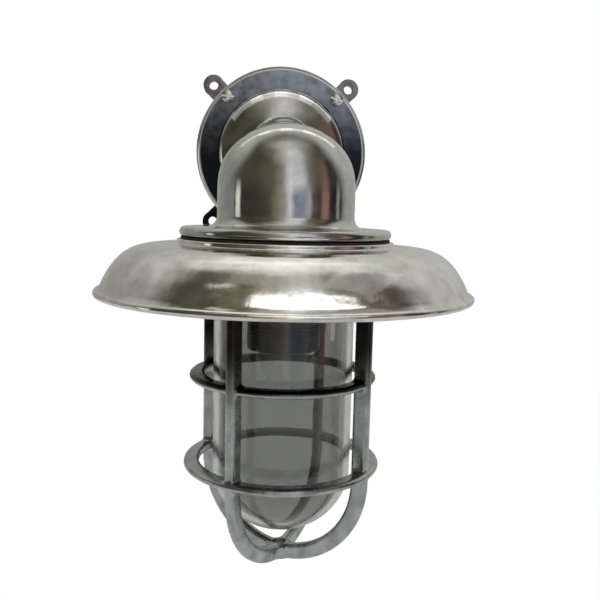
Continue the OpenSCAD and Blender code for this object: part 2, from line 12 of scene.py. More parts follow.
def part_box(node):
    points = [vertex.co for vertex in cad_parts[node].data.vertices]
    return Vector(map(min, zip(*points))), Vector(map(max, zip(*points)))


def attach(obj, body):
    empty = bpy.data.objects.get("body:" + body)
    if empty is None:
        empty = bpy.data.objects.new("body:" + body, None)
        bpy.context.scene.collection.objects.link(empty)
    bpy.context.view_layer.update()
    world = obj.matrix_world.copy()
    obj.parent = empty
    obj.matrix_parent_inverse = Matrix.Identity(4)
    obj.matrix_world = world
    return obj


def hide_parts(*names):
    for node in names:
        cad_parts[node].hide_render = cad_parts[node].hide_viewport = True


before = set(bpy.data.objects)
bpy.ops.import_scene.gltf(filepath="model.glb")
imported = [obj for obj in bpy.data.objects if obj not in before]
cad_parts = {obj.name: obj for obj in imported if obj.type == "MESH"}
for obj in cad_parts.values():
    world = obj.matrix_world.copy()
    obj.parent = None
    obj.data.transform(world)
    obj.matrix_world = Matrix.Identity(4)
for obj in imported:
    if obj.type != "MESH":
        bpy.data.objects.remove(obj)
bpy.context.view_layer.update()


# Wall box: a sand-cast aluminium box with four bolt ears, closed at its back and open at its front.
# It is bolted to the wall first, and the arm's cover plate closes it. Its edges are soft from the mould.

MM = 0.001
weld = 0.001 * MM
crisp_angle = 35
flat_angle = 0.5
box_edge = 0.7 * MM
box_edge_angle = 50
box_patch = 9 * MM
# Painted shade on the box: its own colour above the first height, dark below the second.
box_lit_z = 10 * MM
box_dark_z = -60 * MM
# Painted shade: a face counts as this much higher the more it faces up.
upward_lift = 50 * MM
drift_span = (0.3, 0.7)


def linear(colour):
    """Linear red, green, blue and alpha of an sRGB hex colour."""
    shares = [int(colour[i:i + 2], 16) / 255 for i in (1, 3, 5)]
    return [c / 12.92 if c < 0.04045 else ((c + 0.055) / 1.055) ** 2.4 for c in shares] + [1]


def add(tree, kind, links=None, to=None, stops=(), **settings):
    """Adds a node with its settings. Links give a socket a value, another socket, or a node's first output.
    The new node's first output goes on to a socket, and stops are the places and hex colours of a ramp."""
    node = tree.nodes.new("ShaderNode" + kind)
    for name, value in settings.items():
        setattr(node, name, value)
    for name, source in (links or {}).items():
        if isinstance(source, bpy.types.Node):
            source = source.outputs[0]
        if isinstance(source, bpy.types.NodeSocket):
            tree.links.new(source, node.inputs[name])
        else:
            node.inputs[name].default_value = source
    for number, (position, colour) in enumerate(stops):
        elements = node.color_ramp.elements
        element = elements[number] if number < len(elements) else elements.new(position)
        element.position = position
        element.color = linear(colour)
    if to is not None:
        tree.links.new(node.outputs[0], to)
    return node


def worked(name, colours, roughness, patch, relief, metallic=1, detail=5, span=drift_span):
    """Opaque material: its colour drifts over patches of a size, and its relief is pairs of width and depth,
    from the slow waves that a tool leaves to the grain of the mould. Roughness is one value, or a pair that
    drifts with the colour."""
    material = bpy.data.materials.new(name)
    material.use_nodes = True
    tree = material.node_tree
    sockets = tree.nodes["Principled BSDF"].inputs
    sockets["Metallic"].default_value = metallic
    place = add(tree, "TexCoord", name="place").outputs["Object"]
    drift = add(tree, "TexNoise", {"Vector": place, "Scale": 1 / patch, "Detail": detail}, name="drift")
    add(tree, "ValToRGB", {"Fac": drift}, sockets["Base Color"], zip(span, colours))
    if isinstance(roughness, tuple):
        add(tree, "MapRange", {"Value": drift, "From Min": span[0], "From Max": span[1],
                               "To Min": roughness[0], "To Max": roughness[1]}, sockets["Roughness"])
    else:
        sockets["Roughness"].default_value = roughness
    below = {}
    for width, depth in relief:
        height = add(tree, "TexNoise", {"Vector": place, "Scale": 1 / width, "Detail": 3})
        bump = add(tree, "Bump", {"Height": height, "Distance": depth, **below}, sockets["Normal"])
        below = {"Normal": bump}
    return material


def add_painted_shade(material, colour, lit_z, dark_z, patch):
    """Paints shade over a metal, from the height where it keeps its own colour to the height where it is
    dark.
    The painted shade's edge is as ragged as the patches, and a face counts as higher the more it faces up."""
    tree = material.node_tree
    base = tree.nodes["Principled BSDF"].inputs["Base Color"]
    height = add(tree, "SeparateXYZ", {"Vector": tree.nodes["place"].outputs["Object"]}).outputs["Z"]
    upward = add(tree, "SeparateXYZ", {"Vector": add(tree, "NewGeometry").outputs["Normal"]}).outputs["Z"]
    tilted_height = add(tree, "Math", {0: upward, 1: upward_lift, 2: height}, operation="MULTIPLY_ADD")
    ragged = add(tree, "Math", {0: tree.nodes["drift"], 1: 2 * patch, 2: tilted_height}, operation="MULTIPLY_ADD")
    share = add(tree, "MapRange", {"Value": ragged, "From Min": lit_z + patch, "From Max": dark_z + patch},
                interpolation_type="SMOOTHSTEP")
    add(tree, "MixRGB", {"Fac": share, "Color1": base.links[0].from_socket, "Color2": linear(colour)}, base)


def piece_from(bm, name, sharp=crisp_angle):
    """Object from a bmesh: doubles merged, faces outwards, smooth but for edges sharper than the angle."""
    bmesh.ops.remove_doubles(bm, verts=bm.verts, dist=weld)
    bmesh.ops.recalc_face_normals(bm, faces=bm.faces)
    for face in bm.faces:
        face.smooth = True
    for edge in bm.edges:
        edge.smooth = edge.calc_face_angle(0) < math.radians(sharp)
    mesh = bpy.data.meshes.new(name)
    bm.to_mesh(mesh)
    bm.free()
    piece = bpy.data.objects.new(name, mesh)
    bpy.context.collection.objects.link(piece)
    return piece


def soften(bm, radius, sharp):
    """Rounds every edge that is sharper than the angle."""
    edges = [edge for edge in bm.edges if edge.calc_face_angle(0) > math.radians(sharp)]
    bmesh.ops.bevel(bm, geom=edges, offset=radius, segments=3, profile=0.5, affect="EDGES", material=-1,
                    clamp_overlap=True)


def dress(piece, body, slot, material, *nodes):
    """Gives a piece its material and its body, and hides the nodes that it stands for. Its slot is not used.
    """
    piece.data.materials.append(material)
    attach(piece, body)
    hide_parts(*nodes)


# Sand-cast aluminium, left as it came from the mould but for a light polish: grey, grainy, soft highlights,
# and painted shade that darkens it towards its foot. The sand's grain is drawn coarse, so that it shows.
box_metal = worked("sand_cast_aluminium", ("#68696a", "#979795"), (0.30, 0.45), box_patch,
                   [(14 * MM, 0.12 * MM), (1.6 * MM, 0.05 * MM)])
add_painted_shade(box_metal, "#222325", box_lit_z, box_dark_z, box_patch)

bm = bmesh.new()
bm.from_mesh(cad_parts["wall_box"].data)
bmesh.ops.remove_doubles(bm, verts=bm.verts, dist=weld)
bmesh.ops.dissolve_limit(bm, angle_limit=math.radians(flat_angle), verts=bm.verts, edges=bm.edges)
soften(bm, box_edge, box_edge_angle)
wall_box = piece_from(bm, "wall_box_casting")
dress(wall_box, "fixture", "box_casting", box_metal, "wall_box")


# Rubber gaskets: four flat black rings, punched from sheet. They seal the cover plate, the shade's crown and
# the globe's lip, and their edges show as thin dark lines.


def paint(material, *nodes):
    """Gives solids that keep their shape a material."""
    for node in nodes:
        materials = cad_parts[node].data.materials
        materials.clear()
        materials.append(material)


# Nitrile rubber, punched from calendered sheet: nearly black, matt, with a faint bloom. The sheet's grain is
# drawn coarse, so that it shows.
rubber = worked("nitrile_rubber", ("#121212", "#232322"), 0.75, 6 * MM, [(0.8 * MM, 0.02 * MM)],
                metallic=0, detail=3, span=(0.35, 0.7))
paint(rubber, "box_gasket", "shade_gasket", "upper_globe_gasket", "lower_globe_gasket")


# Elbow arm: one polished aluminium casting with the cover plate, bell collar, neck, hooded elbow, lamp
# flange and threaded spigot. Every section of it is a circle, so it is one closed row of rings, out along
# the outside and back along the inside.

ring_segments = 128
arm_low, arm_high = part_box("elbow_arm")
flange_r = arm_high[0]
cover_r = arm_high[2]
cover_back = arm_high[1]
spigot_low = arm_low[2]
lamp_y = arm_low[1] + flange_r
cover_t = 8 * MM
cover_bevel = 2 * MM
cover_front = cover_back - cover_t
cover_bore_wall = 6 * MM
cover_bore_depth = 3 * MM
collar_r = 54 * MM
collar_rise = 23 * MM
neck_r = 25 * MM
hood_r = 48.75 * MM
hood_fullness = 2
arm_wall = 4 * MM
arm_edge = 0.5 * MM
arm_edge_angle = 40
crook_tube_gap = 13.5 * MM
crook_neck_gap = 15 * MM
foot_fillet = 8 * MM
flange_t = 7 * MM
spigot_length = 20 * MM
spigot_r = 60 * MM
spigot_bore_r = 52 * MM
ledge_bore_r = 42.5 * MM
ledge_drop = 3 * MM
thread_pitch = 3 * MM
thread_depth = 0.7 * MM
flange_low = spigot_low + spigot_length
flange_top = flange_low + flange_t
ledge_z = flange_low - ledge_drop
pivot_y = lamp_y + hood_r + crook_tube_gap
pivot_z = -neck_r - crook_neck_gap
tube_out = crook_tube_gap + 2 * hood_r
neck_out = crook_neck_gap + 2 * neck_r
upright = math.pi / 2


def steps(start, end, count):
    """Evenly spread values from start to end."""
    return [start + (end - start) * k / count for k in range(count + 1)]


def bend_ring(turn, inset):
    """Ring of the elbow at a turn about the crook's pivot, from 0 at the tube to upright at the neck."""
    level = math.cos(turn) ** 2
    share = (level * level * (3 - 2 * level)) ** hood_fullness
    far = neck_out + (tube_out - neck_out) * share
    near = crook_neck_gap + (crook_tube_gap - crook_neck_gap) * level
    middle = (far + near) / 2
    y = pivot_y - middle * math.cos(turn)
    z = pivot_z + middle * math.sin(turn)
    return (y, z, (far - near) / 2 - inset, turn)


def bell_ring(share):
    """Ring of the bell collar, from its foot on the cover plate to the neck."""
    radius = neck_r + (collar_r - neck_r) * (1 - share * share) ** 2
    return (cover_front - collar_rise * share, 0, radius, upright)


def foot_ring(turn):
    """Ring of the fillet between the tube and the lamp flange."""
    rise = foot_fillet * (1 - math.cos(turn))
    out = foot_fillet * (1 - math.sin(turn))
    return (lamp_y, flange_top + rise, hood_r + out, 0)


def flange_ring(turn):
    """Ring of the flange's half-round edge."""
    edge = flange_t / 2
    return (lamp_y, flange_low + edge + edge * math.sin(turn), flange_r - edge + edge * math.cos(turn), 0)


def thread_ring(drop):
    """Ring of the spigot's thread, a wave of the thread's pitch."""
    wave = 0.5 - 0.5 * math.cos(2 * math.pi * drop / thread_pitch)
    return (lamp_y, flange_low - drop, spigot_r - thread_depth * wave, 0)


# Each ring is the y and z of its centre, its radius and its tilt from level.
outside = (
    [bell_ring(share) for share in steps(0, 1, count=20)]
    + [bend_ring(turn, 0) for turn in steps(upright, 0, count=60)]
    + [foot_ring(turn) for turn in steps(upright, 0, count=8)]
    + [flange_ring(turn) for turn in steps(upright, -upright, count=12)]
    + [thread_ring(drop) for drop in steps(0, spigot_length, count=54)]
)
inside = (
    [(lamp_y, spigot_low, spigot_bore_r, 0), (lamp_y, ledge_z, spigot_bore_r, 0),
     (lamp_y, ledge_z, ledge_bore_r, 0), (lamp_y, flange_top, ledge_bore_r, 0),
     (lamp_y, flange_top, hood_r - arm_wall, 0)]
    + [bend_ring(turn, arm_wall) for turn in steps(0, upright, count=24)]
    + [(cover_front - cover_bore_depth, 0, neck_r - arm_wall, upright),
       (cover_front - cover_bore_depth, 0, neck_r - cover_bore_wall, upright),
       (cover_back, 0, neck_r - cover_bore_wall, upright)]
)
plate = [
    (cover_back, 0, cover_r, upright), (cover_front + cover_bevel, 0, cover_r, upright),
    (cover_front, 0, cover_r - cover_bevel, upright)
]

bm = bmesh.new()
rings = []
for y, z, radius, tilt in outside + inside + plate:
    seat = Matrix.Translation((0, y, z)) @ Matrix.Rotation(math.pi - tilt, 4, "X")
    circle = bmesh.ops.create_circle(bm, segments=ring_segments, radius=radius, matrix=seat)
    rings.append(list({edge for vert in circle["verts"] for edge in vert.link_edges}))
for near_ring, far_ring in zip(rings, rings[1:] + rings[:1]):
    walls = bmesh.ops.bridge_loops(bm, edges=near_ring + far_ring)["faces"]
# The last walls are the plate's face, which has a finish of its own.
for face in walls:
    face.material_index = 1
bmesh.ops.recalc_face_normals(bm, faces=bm.faces)
soften(bm, arm_edge, arm_edge_angle)
arm = piece_from(bm, "elbow_arm_casting")

# Cast aluminium, polished on a buffing wheel: a warm mirror with slow waves and a soft haze.
arm_metal = worked("polished_cast_aluminium", ("#b2b2af", "#c8c8c6"), (0.06, 0.15), 9 * MM,
                   [(30 * MM, 0.25 * MM), (12 * MM, 0.05 * MM), (2 * MM, 0.008 * MM)])
dress(arm, "fixture", "arm_casting", arm_metal, "elbow_arm")

# The plate's face is as cast under a blue-grey tarnish: blotchy, half polished, and painted shade darkens it
# towards its foot. Its rim is rubbed bright, and painted lighter still as a painted highlight.
plate_patch = 7 * MM
plate_lit_z = 72 * MM
plate_dark_z = -10 * MM
face_r = cover_r - cover_bevel
rim_highlight_start_r = face_r - 1.6 * MM
rim_highlight_r = face_r - 0.7 * MM
plate_metal = worked("tarnished_cast_aluminium", ("#686d75", "#989da4"), (0.24, 0.40), plate_patch,
                     [(14 * MM, 0.12 * MM), (2 * MM, 0.02 * MM)])
add_painted_shade(plate_metal, "#26282d", plate_lit_z, plate_dark_z, plate_patch)
tree = plate_metal.node_tree
base = tree.nodes["Principled BSDF"].inputs["Base Color"]
place = tree.nodes["place"].outputs["Object"]
# Painted highlight: towards its rim the plate's colour is mixed to a light grey.
across = add(tree, "VectorMath", {0: place, 1: (1, 0, 1)}, operation="MULTIPLY")
from_axis = add(tree, "VectorMath", {0: across}, operation="LENGTH").outputs["Value"]
rim_highlight = add(tree, "MapRange", {"Value": from_axis, "From Min": rim_highlight_start_r, "From Max": rim_highlight_r},
             interpolation_type="SMOOTHSTEP")
add(tree, "MixRGB", {"Fac": rim_highlight, "Color1": base.links[0].from_socket, "Color2": linear("#c4c6c8")}, base)
arm.data.materials.append(plate_metal)


# Cover screws: four plated pan-head screws with a slot, through the cover plate and gasket into the box's
# posts. They are turned, so each head is a domed button with a square-sided slot.

screw_low, screw_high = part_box("cover_screws")
screw_head_r = 5.5 * MM
screw_head_h = cover_front - screw_low[1]
screw_head_side = 0.35 * screw_head_h
screw_length = screw_high[1] - cover_front
screw_r = 2.4 * MM
screw_circle_r = 65 * MM
slot_w = 1.6 * MM
slot_depth = 1.6 * MM
slot_length = 3 * screw_head_r
slot_turn = 0.3
slot_turn_step = -0.25


def revolve(bm, outline, centre, axis=(0, 0, 1), out=(1, 0, 0), turns=96):
    """Turns a closed outline of (radius, height) points about an axis through the centre."""
    verts = [bm.verts.new(Vector(centre) + Vector(out) * radius + Vector(axis) * height)
             for radius, height in outline]
    edges = [bm.edges.new(pair) for pair in zip(verts, verts[1:] + verts[:1])]
    bmesh.ops.spin(bm, geom=verts + edges, cent=centre, axis=axis, angle=2 * math.pi, steps=turns,
                   use_merge=True)


def settle(piece):
    """Makes what a piece's modifiers show its own mesh."""
    graph = bpy.context.evaluated_depsgraph_get()
    mesh = bpy.data.meshes.new_from_object(piece.evaluated_get(graph))
    piece.modifiers.clear()
    piece.data = mesh


def cut(piece, tool):
    """Cuts a tool out of a piece and removes the tool."""
    knife = piece.modifiers.new("cut", "BOOLEAN")
    knife.operation = "DIFFERENCE"
    knife.object = tool
    settle(piece)
    piece.data.set_sharp_from_angle(angle=math.radians(crisp_angle))
    bpy.data.objects.remove(tool)


def screw_place(corner, y):
    """Place on the axis of one of the cover screws."""
    around = math.pi / 4 + corner * upright
    return Vector((screw_circle_r * math.cos(around), y, screw_circle_r * math.sin(around)))


screw = [(0, -screw_length), (screw_r, -screw_length), (screw_r, 0), (screw_head_r, 0)]
screw += [(screw_head_r * math.cos(turn), screw_head_side + (screw_head_h - screw_head_side) * math.sin(turn))
          for turn in steps(0, upright, count=10)]

bm = bmesh.new()
for corner in range(4):
    revolve(bm, screw, screw_place(corner, cover_front), (0, -1, 0), turns=32)
screws = piece_from(bm, "cover_screw_set")
bm = bmesh.new()
slot_size = Matrix.Diagonal((slot_length, 2 * slot_depth, slot_w, 1))
for corner in range(4):
    middle = Matrix.Translation(screw_place(corner, cover_front - screw_head_h))
    turned = Matrix.Rotation(slot_turn + slot_turn_step * corner, 4, "Y")
    bmesh.ops.create_cube(bm, size=1, matrix=middle @ turned @ slot_size)
cut(screws, piece_from(bm, "screw_slots"))

# Nickel-plated steel, turned: bright and smooth.
plated = worked("nickel_plated_steel", ("#bdbab4", "#dedcd8"), (0.12, 0.22), 5 * MM, [(3 * MM, 0.03 * MM)])
dress(screws, "fixture", "screw_steel", plated, "cover_screws")


# Wiring inside the wall box and arm: a moulded terminal block with brass clamp screws, an earth screw and
# three leads. Nothing of it shows while the cover is on.

# Ivory urea moulding: a warm off-white, smooth with a faint orange peel.
ivory = worked("urea_moulding", ("#d8cfb4", "#e6dfc9"), 0.35, 4 * MM, [(0.9 * MM, 0.01 * MM)],
               metallic=0, detail=3)
paint(ivory, "terminal_block")

# Turned brass, slightly dulled: yellow, with a soft shine and a faint drag of the tool.
brass = worked("turned_brass", ("#a07a35", "#c9a254"), (0.20, 0.34), 4 * MM, [(1.2 * MM, 0.01 * MM)])
paint(brass, "terminal_screws", "earth_screw", "holder_nipple", "nipple_nuts", "centre_contact",
      "holder_terminals")
paint(plated, "block_screws", "bridge_screws", "holder_bridge")

# Extruded PVC insulation: satin, with a faint drift of colour.
for node, colours in (("live_wire", ("#3d1f10", "#512a17")), ("neutral_wire", ("#14337d", "#1d449c")),
                      ("earth_wire", ("#1c5a20", "#2c7a2c"))):
    paint(worked("pvc_" + node, colours, 0.45, 5 * MM, [], metallic=0, detail=3), node)


# Lampholder: a dark phenolic cap and skirt, moulded and screwed together round a porcelain insert, with a
# brass screw shell inside. It hangs on a threaded nipple from the steel bridge in the spigot.

lamp = (0, lamp_y, 0)
skirt_low, skirt_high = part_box("holder_skirt")
cap_low, cap_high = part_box("holder_cap")
shell_low, shell_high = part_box("screw_shell")
holder_r = skirt_high[0]
holder_edge = 2 * MM
skirt_bore_r = holder_r - 5.5 * MM
skirt_h = skirt_high[2] - skirt_low[2]
insert_depth = 14 * MM
insert_z = skirt_high[2] - insert_depth
shell_r = shell_high[0]
shell_t = 0.9 * MM
lamp_pitch = 3.6 * MM
lamp_thread = 0.45 * MM
mouth_r = shell_r + 0.6 * MM
waist_r = shell_r + 2 * MM
mouth_lip = 4 * MM
lip_z = skirt_low[2] + mouth_lip
groove = 0.8 * MM
groove_shares = (0.30, 0.36, 0.42)
cap_neck_r = 10 * MM
nipple_r = 5.1 * MM
cap_neck_h = 4 * MM
cap_skirt_wall = 3.3 * MM
cap_grip = 9 * MM
cap_foot = skirt_high[2]
dome_rise = cap_high[2] - cap_foot - cap_neck_h
plug_gap = 0.1 * MM
plug_r = skirt_bore_r - plug_gap


def arc(centre, radius, start, end, count=6):
    """Points of an arc, angles in degrees."""
    turns = steps(math.radians(start), math.radians(end), count)
    return [(centre[0] + radius * math.cos(turn), centre[1] + radius * math.sin(turn)) for turn in turns]


def shell_wave(z):
    """Depth of the rolled lamp thread at a height."""
    return lamp_thread * (0.5 - 0.5 * math.cos(2 * math.pi * (z - shell_low[2]) / lamp_pitch))


skirt = [(mouth_r, skirt_low[2])]
skirt += arc((holder_r - holder_edge, skirt_low[2] + holder_edge), holder_edge, -90, 0)
for share in groove_shares:
    z = skirt_low[2] + share * skirt_h
    skirt += [(holder_r, z - groove), (holder_r - groove, z), (holder_r, z + groove)]
skirt += [(holder_r, skirt_high[2]), (skirt_bore_r, skirt_high[2]), (skirt_bore_r, insert_z),
          (waist_r, insert_z), (waist_r, lip_z), (mouth_r, lip_z)]
cap = [(plug_r, cap_low[2]), (plug_r, cap_foot)]
cap += [(cap_neck_r + (holder_r - cap_neck_r) * math.cos(turn), cap_foot + dome_rise * math.sin(turn))
        for turn in steps(0, upright, count=14)]
cap += [(cap_neck_r, cap_high[2]), (nipple_r, cap_high[2]), (nipple_r, cap_high[2] - cap_grip),
        (plug_r - cap_skirt_wall, cap_foot + cap_skirt_wall / 2), (plug_r - cap_skirt_wall, cap_low[2])]

# Phenolic moulding, brown-black and glossy, with the cloudy flow marks of the mould.
phenolic = worked("phenolic_moulding", ("#1c1512", "#33261f"), 0.28, 7 * MM, [(3 * MM, 0.02 * MM)],
                  metallic=0, detail=6)
for name, outline, node in (("lampholder_skirt", skirt, "holder_skirt"),
                            ("lampholder_cap", cap, "holder_cap")):
    bm = bmesh.new()
    revolve(bm, outline, lamp)
    dress(piece_from(bm, name), "fixture", "dark_bakelite", phenolic, node)

# The screw shell is pressed from thin brass, with a round lamp thread rolled into it.
heights = steps(shell_low[2], shell_high[2], count=84)
shell = [(shell_r - lamp_thread + shell_wave(z), z) for z in heights]
shell += [(shell_r - shell_t + shell_wave(z), z) for z in reversed(heights)]
bm = bmesh.new()
revolve(bm, shell, lamp, turns=64)
dress(piece_from(bm, "lamp_thread_shell", sharp=60), "fixture", "contact_brass", brass, "screw_shell")

# Unglazed steatite porcelain: chalky white with a fine grain.
porcelain = worked("steatite_porcelain", ("#d6d1c6", "#e9e6de"), 0.55, 5 * MM, [(0.7 * MM, 0.02 * MM)],
                   metallic=0, detail=3)
paint(porcelain, "contact_insert")


# Shade: spun from aluminium sheet over a former, with a stepped crown, a full shoulder and a rolled bead at
# the rim. The guard's collar clamps its crown against the lamp flange.

shade_low, shade_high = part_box("shade")
shade_r = shade_high[0]
shade_top = shade_high[2]
shade_t = 2 * MM
crown_r = flange_r + 1.7 * MM
crown_step = 3.3 * MM
crown_edge = 1.1 * MM
crown_bore_r = spigot_r + 0.4 * MM
bead_r = 2.5 * MM
shade_fullness = 4
shoulder_z = shade_top - crown_step
bead_z = shade_low[2] + bead_r
shade_run = shade_r - bead_r - crown_r
shade_fall = shoulder_z - bead_z
bead_share = 0.955
point_spread = 0.7
buffed_rim_r = shade_r - 2.2 * bead_r
downward = -0.2


def shade_point(share, depth=0):
    """Point of the shade's curve, or of its inner face at a depth below it."""
    slope = shade_fall * shade_fullness * share ** (shade_fullness - 1)
    across = Vector((slope, shade_run)).normalized() * depth
    radius = crown_r + shade_run * share
    z = shoulder_z - shade_fall * share ** shade_fullness
    return (radius - across[0], z - across[1])


# The points lie closer together towards the bead, and the first few give way to the crown's fillet.
shares = [share ** point_spread for share in steps(0, bead_share, count=60)]
outline = [(crown_bore_r, shade_top)]
outline += arc((crown_r - crown_edge, shade_top - crown_edge), crown_edge, 90, 0)
outline += arc((crown_r + crown_edge, shoulder_z + crown_edge), crown_edge, 180, 262)
outline += [shade_point(share) for share in shares[4:]]
outline += arc((shade_r - bead_r, bead_z), bead_r, 100, -190, count=28)
outline += [shade_point(share, shade_t) for share in reversed(shares)]
outline += [(crown_r - shade_t, shoulder_z - shade_t), (crown_r - shade_t, shade_top - shade_t),
            (crown_bore_r, shade_top - shade_t)]
bm = bmesh.new()
revolve(bm, outline, lamp, turns=192)
shade = piece_from(bm, "spun_shade")

# Sheet aluminium, spun and buffed by hand: a mirror with slow dents, a warm cast and faint rings from the
# spinning tool. A wave texture has a ring every pi / (10 * scale), and its distortion makes the rings
# uneven.
tool_spacing = 6 * MM
tool_depth = 0.08 * MM
shade_metal = worked("buffed_sheet_aluminium", ("#c9c7c1", "#e6e5e0"), (0.07, 0.18), 12 * MM,
                     [(48 * MM, 0.5 * MM), (15 * MM, 0.2 * MM), (6 * MM, 0.05 * MM), (2.5 * MM, 0.015 * MM)])
tree = shade_metal.node_tree
normal = tree.nodes["Principled BSDF"].inputs["Normal"]
place = tree.nodes["place"].outputs["Object"]
centred = add(tree, "Mapping", {"Vector": place, "Location": (0, -lamp_y, 0)})
marks = add(tree, "TexWave", {"Vector": centred, "Scale": math.pi / (10 * tool_spacing), "Distortion": 3,
                              "Detail": 2, "Detail Scale": 0.6}, wave_type="RINGS", rings_direction="Z")
add(tree, "Bump", {"Height": marks.outputs["Fac"], "Distance": tool_depth,
                   "Normal": normal.links[0].from_socket}, normal)
dress(shade, "globe_set", "shade_sheet", shade_metal, "shade")

# Its inside is dull as left by spinning, and painted dark grey as painted shade under the shade.
shaded_inside_metal = worked("spun_sheet_aluminium", ("#4d4c48", "#6d6c67"), (0.40, 0.55), 12 * MM,
                      [(9 * MM, 0.05 * MM), (1.5 * MM, 0.01 * MM)])
shade.data.materials.append(shaded_inside_metal)
for face in shade.data.polygons:
    inward = math.hypot(face.center[0], face.center[1] - lamp_y) < buffed_rim_r
    face.material_index = 1 if inward and face.normal[2] < downward else 0


# Globe: clear pressed glass, a jar with a thick lip and a domed end. Its lip sits between two gaskets, and
# the guard clamps it against the spigot.

globe_low, globe_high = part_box("glass_globe")
lip_r = globe_high[0]
lip_top = globe_high[2]
lip_t = 6 * MM
lip_w = 7.5 * MM
lip_edge = 1 * MM
lip_low = lip_top - lip_t
globe_r = lip_r - lip_w
globe_wall = 4 * MM
globe_bore_r = globe_r - globe_wall
dome_h = 47 * MM
dome_z = globe_low[2] + dome_h

outline = arc((lip_r - lip_edge, lip_top - lip_edge), lip_edge, 90, 0)
outline += arc((lip_r - lip_edge, lip_low + lip_edge), lip_edge, 0, -90)
outline += [(globe_r, z) for z in steps(lip_low, dome_z, count=12)[:-1]]
outline += [(globe_r * math.cos(turn), dome_z - dome_h * math.sin(turn))
            for turn in steps(0, upright, count=32)]
outline += [(globe_bore_r * math.cos(turn), dome_z - (dome_h - globe_wall) * math.sin(turn))
            for turn in steps(upright, 0, count=32)]
outline += [(globe_bore_r, lip_top)]
bm = bmesh.new()
revolve(bm, outline, lamp, turns=128)
globe = piece_from(bm, "glass_jar")

# Soda-lime glass, pressed: clear with a grey cast from age and dust, and slow ripples from the mould.
ripple_w = 24 * MM
ripple_depth = 0.15 * MM
glass = bpy.data.materials.new("pressed_soda_lime_glass")
glass.use_nodes = True
tree = glass.node_tree
sockets = tree.nodes["Principled BSDF"].inputs
sockets["Base Color"].default_value = linear("#a4a5a1")
sockets["Roughness"].default_value = 0.03
sockets["IOR"].default_value = 1.5
sockets["Transmission Weight"].default_value = 1
place = add(tree, "TexCoord").outputs["Object"]
ripples = add(tree, "TexNoise", {"Vector": place, "Scale": 1 / ripple_w, "Detail": 3})
add(tree, "Bump", {"Height": ripples, "Distance": ripple_depth}, sockets["Normal"])
dress(globe, "globe_set", "clear_glass", glass, "glass_globe")


# Guard: one aluminium casting with a threaded collar, four bars that cross under the globe, two rings and a
# drain hole where the bars meet. The mould leaves soft edges and fillets, so its pieces are melted together.

guard_turn = math.radians(-32.6)
guard_length = 210 * MM
bar_depth = 11.5 * MM
bar_w = 7 * MM
bar_in_r = globe_r + 7.5 * MM
bar_out_r = bar_in_r + bar_depth
bar_mid_r = (bar_in_r + bar_out_r) / 2
gasket_t = 1.5 * MM
seat_t = 6 * MM
seat_bore_r = globe_r + 3 * MM
seat_z = lip_low - gasket_t
collar_bore_r = spigot_r + 0.3 * MM
collar_wall = 9.7 * MM
collar_out_r = collar_bore_r + collar_wall
collar_top = shade_top - shade_t
guard_end = seat_z - guard_length
bow_top = seat_z - seat_t / 2
bend_z = guard_end + bar_out_r
bend_steps = 48
ring_h = 5.5 * MM
ring_nose = ring_h / 3
ring_depth = 11 * MM
ring_offset = 2 * MM
upper_ring_drop = 70 * MM
lower_ring_drop = 134 * MM
drain_r = 5 * MM
hub_wall = 4.5 * MM
hub_inset = 1 * MM
hub_r = drain_r + hub_wall
hub_h = bar_depth - 2 * hub_inset
drill_length = 3 * bar_depth
mould_grain = 1.1 * MM
guard_patch = 11 * MM
# Painted shade under the lamp's shade: the guard keeps its own colour below the first height and is dark
# above the second.
guard_lit_z = -188 * MM
guard_dark_z = -138 * MM


def sweep(bm, face, moves):
    """Draws a face out along a row of moves, as one bar with closed ends."""
    for step, move in enumerate(moves):
        drawn = bmesh.ops.extrude_face_region(bm, geom=[face])["geom"]
        if step:
            bmesh.ops.delete(bm, geom=[face], context="FACES_ONLY")
        face = next(item for item in drawn if isinstance(item, bmesh.types.BMFace))
        bmesh.ops.transform(bm, matrix=move, verts=face.verts)


# One bow is two bars and the bend between them. The second bow is the first one, a quarter turn on.
bm = bmesh.new()
home = Matrix.Translation(lamp) @ Matrix.Rotation(guard_turn, 4, "Z")
section = Matrix.Translation((bar_mid_r, 0, bow_top)) @ Matrix.Diagonal((bar_depth, bar_w, 1, 1))
corners = bmesh.ops.create_grid(bm, x_segments=1, y_segments=1, size=0.5, matrix=home @ section)["verts"]
bmesh.ops.bevel(bm, geom=corners, offset=bar_w / 4, segments=4, profile=0.5, affect="VERTICES", material=-1)
bend = home @ Matrix.Translation((0, 0, bend_z))
bend_step = bend @ Matrix.Rotation(math.pi / bend_steps, 4, "Y") @ bend.inverted()
leg = Matrix.Translation((0, 0, bend_z - bow_top))
bm.faces.ensure_lookup_table()
sweep(bm, bm.faces[0], [leg] + [bend_step] * bend_steps + [leg.inverted()])
second = bmesh.ops.duplicate(bm, geom=bm.verts[:] + bm.edges[:] + bm.faces[:])["geom"]
second = [item for item in second if isinstance(item, bmesh.types.BMVert)]
bmesh.ops.rotate(bm, cent=lamp, matrix=Matrix.Rotation(upright, 3, "Z"), verts=second)

revolve(bm, [(collar_bore_r, collar_top), (collar_out_r, collar_top), (collar_out_r, seat_z - seat_t),
             (seat_bore_r, seat_z - seat_t), (seat_bore_r, seat_z), (collar_bore_r, seat_z)], lamp)
for radius, drop in ((bar_out_r - ring_offset, upper_ring_drop), (bar_out_r + ring_offset, lower_ring_drop)):
    z = seat_z - drop
    revolve(bm, [(radius - ring_depth, z - ring_h / 2), (radius - ring_nose, z - ring_h / 2),
                 (radius, z - ring_nose / 2), (radius, z + ring_nose / 2),
                 (radius - ring_nose, z + ring_h / 2), (radius - ring_depth, z + ring_h / 2)],
            lamp, turns=128)
bmesh.ops.create_cone(bm, cap_ends=True, segments=48, radius1=hub_r, radius2=hub_r, depth=hub_h,
                      matrix=Matrix.Translation((0, lamp_y, guard_end + bar_depth / 2)))
guard = piece_from(bm, "guard_casting")

